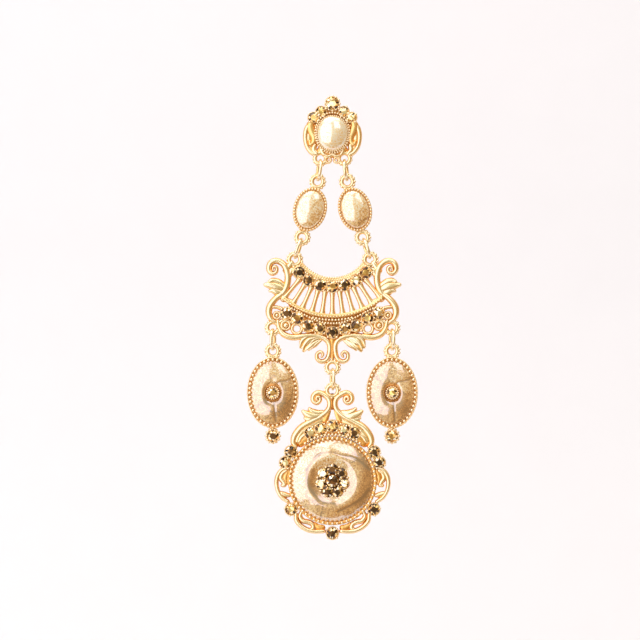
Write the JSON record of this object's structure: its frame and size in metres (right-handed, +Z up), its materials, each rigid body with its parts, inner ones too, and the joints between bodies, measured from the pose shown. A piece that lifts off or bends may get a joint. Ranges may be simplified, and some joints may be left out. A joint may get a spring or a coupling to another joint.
{
  "type": "chandelier earring",
  "caption": "Long chandelier earring: post stud, oval links, pierced fan crescent, oval drops and a round pendant, in gold-coloured metal with resin domes and crystals.",
  "frame": {"origin": "on the ear post's axis, at the face of its pad that rests on the front of the ear lobe", "axes": "+Z up along the hanging earring, -Y out of its front, +Y along the post towards the back of the ear, +X to the right when its front is looked at"},
  "size_m": [0.0384, 0.0145, 0.0998],
  "materials": {
    "gold": "polished gold plating on cast metal",
    "post": "smooth gold-coloured steel",
    "resin": "clear resin over fine gold glitter",
    "crystal": "foil-backed faceted glass, bronze coloured"
  },
  "bodies": {
    "stud": {"ear_post": "post", "stud_crown_stone": "crystal", "stud_dome": "resin", "stud_frame": "gold", "stud_stone_1": "crystal", "stud_stone_2": "crystal", "stud_stone_3": "crystal", "stud_stone_4": "crystal"},
    "chandelier": {"crescent_frame": "gold", "crescent_lower_stone_1": "crystal", "crescent_lower_stone_2": "crystal", "crescent_lower_stone_3": "crystal", "crescent_lower_stone_4": "crystal", "crescent_lower_stone_5": "crystal", "crescent_lower_stone_6": "crystal", "crescent_lower_stone_7": "crystal", "crescent_lower_stone_8": "crystal", "crescent_lower_stone_9": "crystal", "crescent_upper_stone_1": "crystal", "crescent_upper_stone_2": "crystal", "crescent_upper_stone_3": "crystal", "crescent_upper_stone_4": "crystal", "crescent_upper_stone_5": "crystal", "crescent_upper_stone_6": "crystal", "crescent_upper_stone_7": "crystal", "link_dome_left": "resin", "link_dome_right": "resin", "link_frame_left": "gold", "link_frame_right": "gold", "ring_link_left": "gold", "ring_link_right": "gold", "ring_stud_left": "gold", "ring_stud_right": "gold"},
    "drop_left": {"drop_centre_stone_left": "crystal", "drop_dome_left": "resin", "drop_frame_left": "gold", "drop_tip_stone_left": "crystal", "ring_drop_left": "gold"},
    "drop_right": {"drop_centre_stone_right": "crystal", "drop_dome_right": "resin", "drop_frame_right": "gold", "drop_tip_stone_right": "crystal", "ring_drop_right": "gold"},
    "pendant": {"pendant_cluster": "crystal", "pendant_dome": "resin", "pendant_frame": "gold", "pendant_stone_1": "crystal", "pendant_stone_10": "crystal", "pendant_stone_11": "crystal", "pendant_stone_12": "crystal", "pendant_stone_2": "crystal", "pendant_stone_3": "crystal", "pendant_stone_4": "crystal", "pendant_stone_5": "crystal", "pendant_stone_6": "crystal", "pendant_stone_7": "crystal", "pendant_stone_8": "crystal", "pendant_stone_9": "crystal", "ring_pendant": "gold"}
  },
  "joints": [
    {"name": "chandelier_swing", "type": "hinge", "parent": "stud", "child": "chandelier", "pos_m": [0, -0.0013, -0.00719], "axis": [1, 0, 0], "range_deg": [-45, 45]},
    {"name": "drop_left_swing", "type": "hinge", "parent": "chandelier", "child": "drop_left", "pos_m": [-0.0134, -0.0013, -0.04528], "axis": [1, 0, 0], "range_deg": [-45, 45]},
    {"name": "drop_right_swing", "type": "hinge", "parent": "chandelier", "child": "drop_right", "pos_m": [0.0134, -0.0013, -0.04528], "axis": [1, 0, 0], "range_deg": [-45, 45]},
    {"name": "pendant_swing", "type": "hinge", "parent": "chandelier", "child": "pendant", "pos_m": [0, -0.0013, -0.05418], "axis": [1, 0, 0], "range_deg": [-45, 45]}
  ]
}
